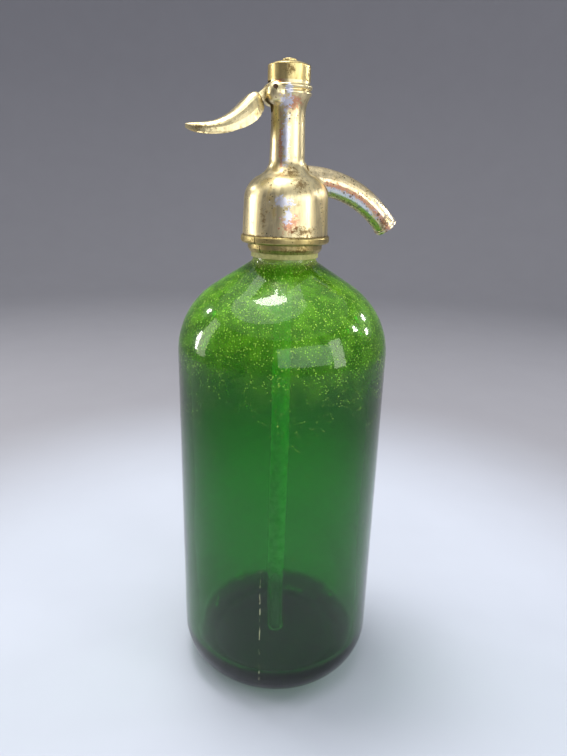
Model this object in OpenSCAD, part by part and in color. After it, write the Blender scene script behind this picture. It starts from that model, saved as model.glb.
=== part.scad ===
// Soda siphon: a thick glass bottle with a screwed brass head, a thumb lever and a curved spout.
// Origin on the bottle's axis at its base, +Z up, the spout towards +X and the lever towards -X.
// The lever turns on a cross pin and lifts the spindle, which opens the valve in the bell.

/* [Glass bottle] */
// Outside diameter of the bottle
bottle_d = 103; // [96:0.5:110]
// Height at which the upright wall turns into the shoulder
shoulder_z = 178; // [150:1:200]
// Radius of the shoulder's arc
shoulder_arc = 38.5; // [34:0.5:42]
// Angle that the arc turns before the straight slope to the neck
shoulder_turn = 57.5; // [54:0.5:62]
// Radius of the rounded heel
heel_arc = 22; // [14:0.5:28]
// Thickness of the glass wall
glass_wall = 6.2; // [4.5:0.1:8]
// Thickness of the glass floor
glass_floor = 8.5; // [6:0.5:12]
// Radius of the corner between the inner wall and the floor
inner_heel_arc = 16; // [10:0.5:20]
// Outside diameter of the glass neck
neck_d = 30; // [29:0.1:31]
// Bore of the glass neck
neck_bore_d = 22; // [21:0.1:23]
// Radius of the fillet where the neck meets the shoulder
neck_fillet = 3.5; // [1:0.1:3.6]
// Height of the glass lip
lip_h = 5.4; // [4:0.1:7]
// How far the lip stands out past the neck
lip_overhang = 2.1; // [1.8:0.1:2.4]
// Rounding of the lip's edges
lip_round = 0.8; // [0.4:0.1:1]

/* [Siphon tube] */
// Outside diameter of the glass siphon tube
tube_d = 8.9; // [8:0.1:9.2]
// Bore of the siphon tube
tube_bore_d = 5; // [4:0.1:6]
// Gap between the tube's lower end and the glass floor
tube_floor_gap = 2.5; // [1:0.5:6]
// Wall of the rubber bush round the tube's top
bush_wall = 0.9; // [0.7:0.1:1.2]
// Length of the rubber bush
bush_l = 7; // [5:0.5:9]

/* [Split collar] */
// Height of bare neck under the collar
collar_gap = 4.4; // [4:0.1:7]
// Diameter of the collar's nose
collar_nose_d = 35.2; // [34.4:0.1:37]
// Height of the nose
collar_nose_h = 4.1; // [3:0.1:6]
// Chamfer under the nose
collar_chamfer = 0.9; // [0.4:0.1:1.2]
// How far the collar's bead stands out past the bell's foot
collar_bead_stand = 0.8; // [0.4:0.1:2]
// Height of the bead
collar_bead_h = 3.7; // [3:0.1:5]
// Width of the saw cut between the two halves
collar_split = 0.4; // [0.2:0.1:1]
// Direction of the saw cut, counted from the lever's side towards the front
collar_split_turn = 32; // [0:1:90]
// Wall of the collar round the glass lip
collar_wall = 0.8; // [0.7:0.05:1.2]
// Thickness of the soft sleeve between the collar and the glass
sleeve_t = 0.9; // [0.6:0.1:1]
// Height of sleeve that shows under the collar
sleeve_show = 2.4; // [1:0.1:2.4]
// Thickness of the rubber washer on the glass lip
lip_washer_t = 2; // [1.5:0.1:3]

/* [Head] */
// How far the bell's foot flares out past its shoulder
bell_flare = 0.55; // [0.3:0.05:0.8]
// Height of the bell's upright side
bell_h = 15.2; // [14:0.1:20]
// Radius of the bell's rounded shoulder
bell_arc = 12; // [10:0.1:13]
// Wall of the skirt that screws onto the collar
skirt_wall = 1.3; // [1:0.1:1.6]
// Diameter of the column at its foot
column_d = 16; // [15.5:0.1:18]
// Diameter of the column at its top
column_top_d = 15.2; // [15:0.1:16.6]
// Radius of the hollow curve between the bell and the column
flare_arc = 8; // [5:0.5:10]
// Height of the column's top above the collar
column_h = 51.4; // [50:0.1:60]
// Radius of the hollow curve under the bulb
bulb_arc = 15; // [13:0.5:18]
// Height of the bulb, from the column's top to the cap
bulb_h = 13.4; // [13:0.1:15]
// Diameter of the bulb's neck under the cap
bulb_d = 18.4; // [18:0.1:19]
// Diameter of the upper bead
upper_bead_d = 20.6; // [20:0.1:22]
// Height of the cap's seat over the upper bead
upper_bead_drop = 2.4; // [1.6:0.1:2.8]
// Diameter of the lower bead
lower_bead_d = 20.2; // [19.6:0.1:21.5]
// Height of the upper bead over the lower one
bead_pitch = 2.5; // [2.2:0.1:3]
// Radius of both beads' rounding
bead_round = 1.1; // [0.8:0.1:1.3]

/* [Cap] */
// Diameter of the screw cap
cap_d = 18.7; // [18:0.1:20]
// Height of the cap's side
cap_h = 6.6; // [6:0.1:8]
// Height of the cap's dome above its side
cap_dome_h = 1.8; // [1:0.1:3]
// Diameter of the button on the dome
button_d = 6.4; // [5:0.1:8]
// Height of the button
button_h = 0.6; // [0.5:0.1:1.6]
// Diameter of the threaded spigot under the cap
spigot_d = 16; // [15.6:0.1:16.4]
// Height of the spigot
spigot_h = 5.2; // [4.4:0.1:5.4]
// Thickness of the cap's sealing washer
cap_washer_t = 0.6; // [0.4:0.1:0.8]
// Diameter of the spring chamber
chamber_d = 11; // [10.8:0.1:11.4]

/* [Lever] */
// Distance of the pin from the head's axis
pin_offset = 8.4; // [8:0.1:8.6]
// Distance of the pin below the cap's seat
pin_drop = 3.1; // [3:0.1:3.6]
// Diameter of the pin
pin_d = 2; // [1.6:0.1:2.4]
// Radius of the ball-shaped bosses that carry the pin
boss_r = 5; // [4.8:0.1:5.2]
// Distance of each boss's centre from the lever's own plane
boss_aside = 4.4; // [4:0.1:4.8]
// How much nearer to the head's axis the bosses' centres lie than the pin
boss_inset = 2.1; // [1.6:0.1:2.6]
// Reach of the lever from the pin to its tip
lever_reach = 37.6; // [32:0.1:44]
// Drop of the lever's tip below the pin
lever_drop = 16.5; // [14:0.1:20]
// Width of the lever's leaf
lever_w = 16; // [12:0.1:20]
// Thickness of the leaf at its tip
lever_tip_t = 3.4; // [2.4:0.1:4]
// Thickness of the leaf's skin
lever_skin = 1.5; // [1.2:0.1:2]
// Thickness of the lever's stem
stem_t = 4; // [3:0.1:4.4]
// Diameter of the stem's eye round the pin
eye_d = 4.6; // [4.2:0.1:4.8]
// Diameter of the lever's rounded nose
nose_d = 2.2; // [2:0.1:2.6]

/* [Spindle and valve] */
// Diameter of the spindle
spindle_d = 4; // [3.5:0.1:4.4]
// Diameter of the lifting yoke on the spindle
yoke_d = 10.4; // [10:0.1:10.6]
// Thickness of the yoke's upper disc
yoke_top_t = 1.5; // [1.2:0.1:1.8]
// Thickness of the yoke's lower disc
yoke_low_t = 2.5; // [2:0.1:2.8]
// Height of the window in the yoke
yoke_window_h = 5.7; // [5.4:0.1:6.2]
// Diameter of the stub that centres the spring
stub_d = 6; // [5:0.1:6.4]
// Height of the stub
stub_h = 2.6; // [1:0.1:3]
// Diameter of the spring's wire
wire_d = 1; // [0.8:0.05:1.1]
// Mean diameter of the spring's coil
spring_d = 8.6; // [8.2:0.1:9]
// Number of turns in the spring
spring_turns = 3.5; // [2.5:0.5:4]
// Thickness of the washer above the spring
spring_washer_t = 0.5; // [0.4:0.1:0.8]
// Diameter of the gland's bore
gland_d = 8; // [7.6:0.1:8.4]
// Height of the packing under the gland nut
packing_h = 4.6; // [3:0.1:6]
// Number of leather rings in the packing
packing_rings = 3; // [2:1:4]
// Height of the gland nut
gland_nut_h = 6.4; // [4:0.1:6.6]
// Diameter of the water chamber
water_d = 12; // [11.4:0.1:12.6]
// Diameter of the valve's cup
valve_cup_d = 9.6; // [9:0.1:10]
// Height of the valve's cup
valve_cup_h = 3.6; // [3:0.1:4.5]
// Thickness of the valve's rubber
valve_rubber_t = 2.4; // [1.8:0.1:2.6]
// Diameter of the valve screw's head
valve_screw_d = 4.2; // [3.6:0.1:4.8]
// Diameter of the hole that the valve closes
seat_bore_d = 6.2; // [5.6:0.1:6.6]
// Diameter of the seat's thread
seat_thread_d = 16; // [15:0.1:16.6]
// Length of the seat's thread
seat_thread_h = 6; // [5:0.1:8]
// Height of the raised lip that the rubber closes on
seat_lip_h = 0.5; // [0.3:0.1:0.8]
// Diameter of the seat's flange
seat_flange_d = 20; // [19:0.1:20.6]
// Thickness of the seat's flange
seat_flange_t = 2; // [1.5:0.1:3]
// Diameter of the nipple under the flange
nipple_d = 14.6; // [14:0.1:15]
// Length of the nipple
nipple_h = 9; // [8.5:0.1:11]
// Diameter of the nut that clamps the tube
tube_nut_d = 18.4; // [17.6:0.1:19]

/* [Spout] */
// Height of the spout's root above the bell's upright side
spout_rise = 9; // [8:0.1:9.6]
// Distance from the head's axis to the start of the curve
spout_root_x = 14; // [13.5:0.1:16]
// Tilt of the spout where it leaves the bell
spout_tilt = 4; // [0:0.5:8]
// Tilt of the spout at its mouth
spout_end_tilt = 50; // [40:0.5:60]
// Radius of the spout's curve
spout_arc = 51; // [42:0.5:56]
// Outside diameter of the spout at its root
spout_root_d = 12.8; // [12:0.1:13.4]
// Outside diameter of the spout at its mouth
spout_mouth_d = 11; // [10:0.1:11.6]
// Bore of the spout at its root
spout_root_bore_d = 9; // [8:0.1:9.6]
// Bore of the spout at its mouth
spout_bore_d = 7.6; // [7:0.1:8.2]
// Length of the straight mouth
spout_mouth_l = 4; // [3:0.1:8]
// Thickness of the rolled rim at the mouth
rim_d = 1.4; // [1:0.1:1.8]

/* [Clearances] */
// Play on the radius between screwed parts
thread_fit = 0.1; // [0.05:0.01:0.15]
// Play on the radius between the pin and the lever's eye
pin_fit = 0.05; // [0.02:0.01:0.08]
// Play on the radius between the pin and the bosses
pin_seat = 0.02; // [0.01:0.01:0.05]
// Play on the radius between the spindle and its guide
guide_fit = 0.08; // [0.03:0.01:0.1]
// Play between the lever's stem and each side of its slot
slot_fit = 0.3; // [0.2:0.05:0.4]
// How far the slot is cut into the spring chamber, past its wall
slot_into_chamber = 2.5; // [2:0.1:3]
// How far the slot is cut past the cap's seat
slot_over_seat = 0.5; // [0.4:0.1:1]
// Height of solid bulb under the slot
slot_floor = 0.8; // [0.5:0.1:2]
// Depth of the valve's rubber that stands out of its cup
rubber_stand = 0.7; // [0.5:0.1:1]
// How far the spring's pocket in the cap reaches above the foot of the dome
spring_pocket_rise = 0.6; // [0.4:0.1:1]
// Play between the lever's nose and the yoke, and between the rubber and its seat
lift_gap = 0.1; // [0.05:0.01:0.15]
// Play between the glass lip and the collar's recess for it
lip_clear = 0.2; // [0.1:0.05:0.4]
// Play on the radius between the glass and the soft parts on it
glass_fit = 0.05; // [0.02:0.01:0.1]

/* [Hidden] */
$fn = 96;
eps = 0.01;

// Radii that several pieces share
bottle_r = bottle_d / 2;
neck_r = neck_d / 2;
neck_bore_r = neck_bore_d / 2;
lip_r = neck_r + lip_overhang;
tube_r = tube_d / 2;
chamber_r = chamber_d / 2;
spindle_r = spindle_d / 2;
gland_r = gland_d / 2;

// Heights of the glass
arc_end_r = bottle_r - shoulder_arc + shoulder_arc * cos(shoulder_turn);
arc_end_z = shoulder_z + shoulder_arc * sin(shoulder_turn);
neck_foot_z = arc_end_z + (arc_end_r - neck_r) / tan(shoulder_turn);

// Heights of the collar and of the lip inside it
collar_z = neck_foot_z + collar_gap;
collar_bead_z = collar_z + collar_nose_h;
seam_z = collar_bead_z + collar_bead_h;
lip_low_z = seam_z + 1;
lip_z = lip_low_z + lip_h;
sleeve_in_r = neck_r + glass_fit;
sleeve_r = sleeve_in_r + sleeve_t;
collar_in_r = sleeve_r + glass_fit;
collar_lip_r = lip_r + lip_clear;
collar_thread_r = collar_lip_r + collar_wall;
skirt_in_r = collar_thread_r + thread_fit;
collar_top_z = lip_z - lip_clear;

// Heights of the head
ceiling_z = lip_z + lip_washer_t;
bell_top_z = seam_z + bell_h;
bell_d = 2 * (skirt_in_r + skirt_wall);
bell_foot_d = bell_d + 2 * bell_flare;
collar_bead_d = bell_foot_d + 2 * collar_bead_stand;
bulb_foot_z = seam_z + column_h;
cap_seat_z = bulb_foot_z + bulb_h;
spigot_z = cap_seat_z + spigot_h;
pin_x = -pin_offset;
pin_z = cap_seat_z - pin_drop;
upper_bead_z = cap_seat_z - upper_bead_drop;
lower_bead_z = upper_bead_z - bead_pitch;
bead_foot_z = lower_bead_z - bead_round;
boss_x = pin_x + boss_inset;
boss_z = cap_seat_z - boss_r - 0.1;
boss_y = boss_aside + sqrt(pow(boss_r, 2) - pow(boss_inset, 2) - pow(pin_z - boss_z, 2));

// The slot that the lever's stem swings in
slot_w = stem_t + 2 * slot_fit;
slot_top_z = cap_seat_z + slot_over_seat;
slot_low_z = bulb_foot_z + slot_floor;
slot_end_x = slot_into_chamber - chamber_r;

// Spring chamber, gland and water chamber, one under the other on the head's axis
yoke_window_top_z = pin_z + nose_d / 2 + lift_gap;
yoke_window_z = yoke_window_top_z - yoke_window_h;
yoke_z = yoke_window_z - yoke_low_t;
yoke_top_z = yoke_window_top_z + yoke_top_t;
yoke_slot_x = nose_d / 2 + 1.5;
chamber_z = yoke_z - 2;
gland_nut_z = chamber_z - 1 - gland_nut_h;
gland_z = gland_nut_z - packing_h;
spout_z = bell_top_z + spout_rise;
water_top_z = spout_z + water_d / 2 + 1;
seat_z = ceiling_z + seat_thread_h;
seat_lip_z = seat_z + seat_lip_h;
valve_rubber_z = seat_lip_z + lift_gap;
valve_cup_low_z = valve_rubber_z + rubber_stand;
valve_cup_z = valve_cup_low_z + valve_cup_h;
valve_cup_floor_z = valve_rubber_z + valve_rubber_t;
valve_rubber_r = valve_cup_d / 2 - 0.8;
valve_screw_r = 0.9;

// Seat, nipple and tube under the head's ceiling
seat_washer_t = 1;
seat_flange_z = ceiling_z - seat_washer_t - seat_flange_t;
nipple_z = seat_flange_z - nipple_h;
bush_in_r = tube_r + glass_fit;
bush_r = bush_in_r + bush_wall;
tube_top_z = nipple_z + bush_l + 2;
tube_low_z = glass_floor + tube_floor_gap;
nut_floor_t = 2;

// Cap
cap_side_z = cap_seat_z + cap_h;
cap_roof_z = spigot_z + cap_washer_t;
spring_top_z = cap_side_z + spring_pocket_rise;
cap_rim_round = 0.6;
dome_r = cap_d / 2 - cap_rim_round;
dome_ball_r = (dome_r * dome_r + cap_dome_h * cap_dome_h) / (2 * cap_dome_h);

// Spout
spout_arc_l = spout_arc * (spout_end_tilt - spout_tilt) * PI / 180;
spout_socket_x = 8.8;

// ---------- shared shapes ----------

// A ring, or a plain disc where the bore is 0
module ring(r, bore, h) {
  difference() {
    cylinder(r = r, h = h);
    if (bore > 0) translate([0, 0, -eps]) cylinder(r = bore, h = h + 2 * eps);
  }
}

// The part of a circle that lies right of the axis and inside a height range
module half_round(x, z, r, low, high) {
  intersection() {
    translate([x, z]) circle(r);
    translate([0, low]) square([x + r + 1, high - low]);
  }
}

// A bar from the axis out to r with rounded outer corners
module rounded_bar(r, z, h, e) {
  translate([0, z + e]) square([r, h - 2 * e]);
  translate([0, z]) square([r - e, h]);
  translate([r - e, z + e]) circle(e);
  translate([r - e, z + h - e]) circle(e);
}

// Half outline of a flask: heel, upright side, shoulder arc, straight slope, fillet and neck
module flask_outline(r, floor_z, heel, arc, neck, fillet, top) {
  end_r = r - arc + arc * cos(shoulder_turn);
  end_z = shoulder_z + arc * sin(shoulder_turn);
  foot_z = end_z + (end_r - neck) / tan(shoulder_turn);
  fillet_x = neck + fillet;
  fillet_z = end_z + (fillet - cos(shoulder_turn) * (fillet_x - end_r)) / sin(shoulder_turn);
  touch = [fillet_x - fillet * cos(shoulder_turn), fillet_z - fillet * sin(shoulder_turn)];
  translate([0, floor_z]) square([r - heel, heel]);
  half_round(r - heel, floor_z + heel, heel, floor_z, floor_z + heel);
  translate([0, floor_z + heel]) square([r, shoulder_z - floor_z - heel]);
  half_round(r - arc, shoulder_z, arc, shoulder_z, end_z);
  polygon([[0, shoulder_z], [r - arc, shoulder_z], [end_r, end_z], [neck, foot_z], [0, foot_z]]);
  difference() {
    polygon([[0, touch[1]], touch, [fillet_x, fillet_z], [neck, fillet_z], [0, fillet_z]]);
    translate([fillet_x, fillet_z]) circle(fillet);
  }
  translate([0, foot_z - eps]) square([neck, top - foot_z + eps]);
}

// ---------- glass ----------

module bottle() {
  color([0.05, 0.42, 0.14, 0.55])
    rotate_extrude()
      difference() {
        union() {
          flask_outline(bottle_r, 0, heel_arc, shoulder_arc, neck_r, neck_fillet, lip_z - 1);
          rounded_bar(lip_r, lip_low_z, lip_h, lip_round);
        }
        flask_outline(bottle_r - glass_wall, glass_floor, inner_heel_arc,
                      shoulder_arc - glass_wall, neck_bore_r, neck_fillet, lip_z + 1);
      }
}

module siphon_tube() {
  color([0.55, 0.8, 0.6, 0.6])
    translate([0, 0, tube_low_z])
      ring(tube_r, tube_bore_d / 2, tube_top_z - tube_low_z);
}

// ---------- neck and collar ----------

module neck_sleeve() {
  color([0.72, 0.72, 0.42])
    translate([0, 0, collar_z - sleeve_show])
      ring(sleeve_r, sleeve_in_r, lip_low_z - collar_z + sleeve_show);
}

module lip_washer() {
  color([0.2, 0.18, 0.17])
    translate([0, 0, lip_z])
      ring(lip_r - lip_round, neck_bore_r, lip_washer_t);
}

module collar_outline() {
  nose_r = collar_nose_d / 2;
  difference() {
    union() {
      polygon([
        [0, collar_z], [nose_r - collar_chamfer, collar_z], [nose_r, collar_z + 2 * collar_chamfer],
        [nose_r, collar_bead_z + 1], [0, collar_bead_z + 1]
      ]);
      rounded_bar(collar_bead_d / 2, collar_bead_z, collar_bead_h, collar_bead_h / 3);
      translate([0, seam_z - 1]) square([collar_thread_r, collar_top_z - seam_z + 1]);
    }
    translate([0, collar_z - 1]) square([collar_in_r, collar_top_z - collar_z + 2]);
    translate([0, lip_low_z]) square([collar_lip_r, lip_h]);
  }
}

// One half of the collar; side is 1 or -1
module collar_half(side) {
  block = collar_bead_d;
  color([0.72, 0.58, 0.3])
    intersection() {
      rotate_extrude() collar_outline();
      rotate([0, 0, collar_split_turn])
        translate([-block, side > 0 ? collar_split / 2 : -block - collar_split / 2, collar_z - 1])
          cube([2 * block, block, 2 * block]);
    }
}

module collar_half_front() {
  collar_half(-1);
}

module collar_half_back() {
  collar_half(1);
}

// ---------- head ----------

module head_outline() {
  bell_r = bell_d / 2;
  column_r = column_d / 2;
  column_top_r = column_top_d / 2;
  dome_x = bell_r - bell_arc;
  flare_x = column_r + flare_arc;
  flare_z = bell_top_z + sqrt(pow(bell_arc + flare_arc, 2) - pow(flare_x - dome_x, 2));
  share = bell_arc / (bell_arc + flare_arc);
  touch = [dome_x + (flare_x - dome_x) * share, bell_top_z + (flare_z - bell_top_z) * share];
  polygon([[0, seam_z], [bell_foot_d / 2, seam_z], [bell_r, bell_top_z], [0, bell_top_z]]);
  translate([0, bell_top_z - eps]) square([dome_x, bell_arc + eps]);
  half_round(dome_x, bell_top_z, bell_arc, bell_top_z, bell_top_z + bell_arc);
  difference() {
    polygon([[0, touch[1]], touch, [flare_x, flare_z], [column_r, flare_z], [0, flare_z]]);
    translate([flare_x, flare_z]) circle(flare_arc);
  }
  polygon([[0, touch[1]], [column_r, flare_z], [column_top_r, bulb_foot_z], [0, bulb_foot_z]]);
  difference() {
    translate([0, bulb_foot_z - eps])
      square([lower_bead_d / 2 - 0.1, lower_bead_z - bulb_foot_z]);
    translate([column_top_r + bulb_arc, bulb_foot_z]) circle(bulb_arc);
  }
  translate([0, bead_foot_z]) square([bulb_d / 2, cap_seat_z - bead_foot_z]);
  translate([lower_bead_d / 2 - bead_round, lower_bead_z]) circle(bead_round);
  translate([upper_bead_d / 2 - bead_round, upper_bead_z]) circle(bead_round);
  translate([0, cap_seat_z - 1]) square([spigot_d / 2, spigot_h + 1]);
}

// Every bore on the head's own axis
module head_bores() {
  translate([0, 0, seam_z - 1]) cylinder(r = skirt_in_r, h = ceiling_z - seam_z + 1);
  translate([0, 0, ceiling_z - 1]) cylinder(r = seat_thread_d / 2 + thread_fit, h = seat_thread_h + 1);
  translate([0, 0, seat_z - eps]) cylinder(r = water_d / 2, h = water_top_z - seat_z);
  translate([0, 0, seat_z]) cylinder(r = spindle_r + guide_fit, h = gland_z - seat_z + 1);
  translate([0, 0, gland_z]) cylinder(r = gland_r, h = chamber_z - gland_z + 1);
  translate([0, 0, chamber_z]) cylinder(r = chamber_r, h = spigot_z - chamber_z + 1);
}

// The upright slot for the lever's stem, with a milled round foot
module lever_slot() {
  out = upper_bead_d;
  round_z = slot_low_z + slot_w / 2;
  translate([slot_end_x - out, -slot_w / 2, round_z]) cube([out, slot_w, slot_top_z - round_z]);
  translate([slot_end_x - out, 0, round_z]) rotate([0, 90, 0]) cylinder(d = slot_w, h = out);
}

// Moves its child onto the spout's start, pointing along the spout
module at_spout_root() {
  translate([spout_root_x, 0, spout_z]) rotate([0, 90 + spout_tilt, 0]) children();
}

module head_body() {
  color([0.78, 0.64, 0.33])
    difference() {
      union() {
        rotate_extrude() head_outline();
        for (side = [-1, 1]) translate([boss_x, side * boss_aside, boss_z]) sphere(boss_r);
      }
      head_bores();
      lever_slot();
      translate([pin_x, boss_y + 1, pin_z])
        rotate([90, 0, 0]) cylinder(r = pin_d / 2 + pin_seat, h = 2 * boss_y + 2);
      at_spout_root()
        translate([0, 0, spout_socket_x - spout_root_x])
          cylinder(r = spout_root_d / 2 + thread_fit, h = bell_d);
      at_spout_root()
        translate([0, 0, -spout_root_x]) cylinder(d = spout_root_bore_d, h = spout_root_x);
    }
}

// ---------- spout ----------

// Centre of the spout at share s of its curve, and the outward normal there
function spout_turn(s) = spout_tilt + (spout_end_tilt - spout_tilt) * s;
function spout_point(s) = [
  spout_root_x + spout_arc * (sin(spout_turn(s)) - sin(spout_tilt)),
  spout_z - spout_arc * (cos(spout_tilt) - cos(spout_turn(s)))
];
function spout_ring(s, r, sides) = [
  for (i = [0 : sides - 1])
    let (q = 360 * i / sides, p = spout_point(s), a = spout_turn(s))
      [p[0] + r * cos(q) * sin(a), r * sin(q), p[1] + r * cos(q) * cos(a)]
];

// Faces of a closed skin over rings of points that all have the same number of sides
function skin_faces(rings, sides) = concat(
  [for (k = [0 : rings - 2], i = [0 : sides - 1])
    let (a = k * sides + i, b = k * sides + (i + 1) % sides) [a, b, b + sides]],
  [for (k = [0 : rings - 2], i = [0 : sides - 1])
    let (a = k * sides + i, b = k * sides + (i + 1) % sides) [a, b + sides, a + sides]],
  [for (i = [1 : sides - 2]) [0, i + 1, i]],
  [for (i = [1 : sides - 2]) let (c = (rings - 1) * sides) [c, c + i, c + i + 1]]
);

// A tapered bend along the spout's curve, which starts and ends a short way inside the straight ends
module spout_bend(root_d, mouth_d, inset, sides, steps) {
  lap = 0.012;
  shares = [for (k = [0 : steps]) -lap + (1 + 2 * lap) * k / steps];
  points = [
    for (s = shares)
      let (r = (root_d + (mouth_d - root_d) * max(0, min(1, s))) / 2 - inset)
        each spout_ring(s, r, sides)
  ];
  polyhedron(points, skin_faces(len(shares), sides));
}

module at_spout_mouth() {
  end = spout_point(1);
  translate([end[0], 0, end[1]]) rotate([0, 90 + spout_end_tilt, 0]) children();
}

module spout() {
  root_l = spout_root_x - spout_socket_x;
  inset = 0.03;
  color([0.75, 0.62, 0.36])
    difference() {
      union() {
        at_spout_root() translate([0, 0, -root_l]) cylinder(d = spout_root_d, h = root_l);
        spout_bend(spout_root_d, spout_mouth_d, inset, 28, 26);
        at_spout_mouth()
          rotate_extrude() {
            square([spout_mouth_d / 2, spout_mouth_l]);
            translate([spout_mouth_d / 2 - rim_d / 4, spout_mouth_l - rim_d]) circle(d = rim_d, $fn = 32);
          }
      }
      at_spout_root() translate([0, 0, -root_l - 1]) cylinder(d = spout_root_bore_d, h = root_l + 1);
      spout_bend(spout_root_bore_d, spout_bore_d, inset, 24, 22);
      at_spout_mouth() cylinder(d = spout_bore_d, h = spout_mouth_l + 1);
    }
}

// ---------- seat and tube fittings ----------

module valve_seat() {
  socket_z = tube_top_z + 0.2;
  color([0.8, 0.68, 0.38])
    rotate_extrude()
      difference() {
        union() {
          translate([0, seat_flange_z]) square([seat_thread_d / 2, seat_z - seat_flange_z]);
          translate([0, seat_flange_z]) square([seat_flange_d / 2, seat_flange_t]);
          translate([0, nipple_z]) square([nipple_d / 2, nipple_h + 1]);
          translate([0, seat_z - 1]) square([seat_bore_d / 2 + 1, seat_lip_h + 1]);
        }
        translate([0, nipple_z - 1]) square([bush_r + glass_fit, socket_z - nipple_z + 1]);
        translate([0, nipple_z]) square([seat_bore_d / 2, seat_lip_z - nipple_z + 1]);
      }
}

module seat_washer() {
  color([0.45, 0.3, 0.2])
    translate([0, 0, ceiling_z - seat_washer_t])
      ring(seat_flange_d / 2, seat_thread_d / 2 + thread_fit, seat_washer_t);
}

module tube_bush() {
  color([0.25, 0.22, 0.2])
    translate([0, 0, nipple_z]) ring(bush_r, bush_in_r, bush_l);
}

module tube_nut() {
  thread_l = nipple_h - 1;
  color([0.76, 0.62, 0.34])
    translate([0, 0, nipple_z - nut_floor_t])
      difference() {
        union() {
          cylinder(d = tube_nut_d - 2, h = 1 + eps);
          translate([0, 0, 1]) cylinder(d = tube_nut_d, h = nut_floor_t + thread_l - 1);
        }
        translate([0, 0, -1]) cylinder(r = tube_r + 0.4, h = nut_floor_t + 2);
        translate([0, 0, nut_floor_t]) cylinder(r = nipple_d / 2 + thread_fit, h = thread_l + 1);
      }
}

// ---------- gland ----------

module packing_rings() {
  ring_h = packing_h / packing_rings;
  gap = 0.04;
  color([0.5, 0.35, 0.22])
    for (i = [0 : packing_rings - 1])
      translate([0, 0, gland_z + i * ring_h])
        ring(gland_r - thread_fit, spindle_r + guide_fit, ring_h - gap);
}

module gland_nut() {
  driver_w = 1.4;
  driver_h = 1.2;
  color([0.8, 0.66, 0.36])
    translate([0, 0, gland_nut_z])
      difference() {
        ring(gland_r - thread_fit, spindle_r + guide_fit, gland_nut_h);
        translate([-gland_r, -driver_w / 2, gland_nut_h - driver_h])
          cube([gland_d, driver_w, driver_h + 1]);
      }
}

// ---------- cap ----------

module top_cap() {
  side_r = cap_d / 2;
  color([0.74, 0.6, 0.3])
    rotate_extrude()
      difference() {
        union() {
          translate([0, cap_seat_z]) square([side_r, cap_h - cap_rim_round]);
          translate([0, cap_seat_z]) square([dome_r, cap_h]);
          translate([dome_r, cap_side_z - cap_rim_round]) circle(cap_rim_round, $fn = 32);
          intersection() {
            translate([0, cap_side_z + cap_dome_h - dome_ball_r]) circle(dome_ball_r);
            translate([0, cap_side_z - eps]) square([dome_r, cap_dome_h + 1]);
          }
          rounded_bar(button_d / 2, cap_side_z, cap_dome_h + button_h, 0.4);
        }
        translate([0, cap_seat_z - 1]) square([spigot_d / 2 + thread_fit, cap_roof_z - cap_seat_z + 1]);
        translate([0, cap_seat_z]) square([chamber_r, spring_top_z - cap_seat_z]);
      }
}

module cap_washer() {
  color([0.45, 0.3, 0.2])
    translate([0, 0, spigot_z]) ring(spigot_d / 2, chamber_r, cap_washer_t);
}

module spring_washer() {
  color([0.7, 0.6, 0.4])
    translate([0, 0, spring_top_z - spring_washer_t])
      ring(chamber_r - 0.3, stub_d / 2 + 0.2, spring_washer_t);
}

// ---------- spring ----------

// The wire's centre runs from the yoke up to the washer at a steady rate
spring_low_z = yoke_top_z;
spring_high_z = spring_top_z - spring_washer_t;
wire_r = wire_d / 2;
spring_climb = spring_high_z - spring_low_z - wire_d;
function spring_centre(u) = [
  spring_d / 2 * cos(360 * spring_turns * u),
  spring_d / 2 * sin(360 * spring_turns * u),
  spring_low_z + wire_r + spring_climb * u
];
function spring_ring(u, sides) = [
  for (i = [0 : sides - 1])
    let (a = 360 * spring_turns * u, q = 360 * i / sides, r = spring_d / 2 + wire_r * cos(q))
      [r * cos(a), r * sin(a), spring_centre(u)[2] + wire_r * sin(q)]
];

module plunger_spring() {
  sides = 8;
  steps = 12 * spring_turns;
  points = [for (k = [0 : steps]) each spring_ring(k / steps, sides)];
  color([0.7, 0.7, 0.72]) polyhedron(points, skin_faces(steps + 1, sides));
}

echo(spring_gap = spring_climb / spring_turns - wire_d);

// ---------- lever ----------

module lever_pin() {
  color([0.5, 0.45, 0.36])
    translate([pin_x, boss_y - 0.3, pin_z]) rotate([90, 0, 0]) cylinder(d = pin_d, h = 2 * boss_y - 0.6);
}

// A point of the lever beside its pin, as shares of its reach and of its drop
function lever_at(along, down) = [-lever_reach * along, -lever_drop * down];

// Upper and lower edge of the leaf, as curves with four control points each
leaf_top = [
  lever_at(0.149, 0.103), lever_at(0.362, 0.018), lever_at(0.415, 1.048),
  lever_at(1, 1) + [0, lever_tip_t / 2]
];
leaf_low = [
  lever_at(0.09, 0.418), lever_at(0.154, 0.897), lever_at(0.415, 1.291),
  lever_at(1, 1) - [0, lever_tip_t / 2]
];
leaf_root_w = 0.5;
leaf_widest = 0.42;
leaf_steps = 26;
leaf_last = 0.9965;
arch_steps = 16;

function curve(c, t) =
  c[0] * pow(1 - t, 3) + 3 * c[1] * t * pow(1 - t, 2) + 3 * c[2] * t * t * (1 - t) + c[3] * pow(t, 3);
function signed_pow(v, p) = sign(v) * pow(abs(v), p);

// Half width of the leaf: narrow at the stem, widest near the middle, round at the tip
function leaf_half_w(t) = lever_w / 2 * (
  t < leaf_widest
    ? leaf_root_w + (1 - leaf_root_w) * sin(90 * t / leaf_widest)
    : sqrt(1 - pow((t - leaf_widest) / (1 - leaf_widest), 2.6))
);
// How deep the hollow under the leaf goes, as a share of the leaf's depth; the root is solid
leaf_solid = 0.08;
function leaf_hollow(t, depth) =
  let (u = max(0, t - leaf_solid) / (1 - leaf_solid))
    max(0.04, (1 - lever_skin / depth) * pow(sin(180 * pow(u, 0.8)), 0.35));
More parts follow.
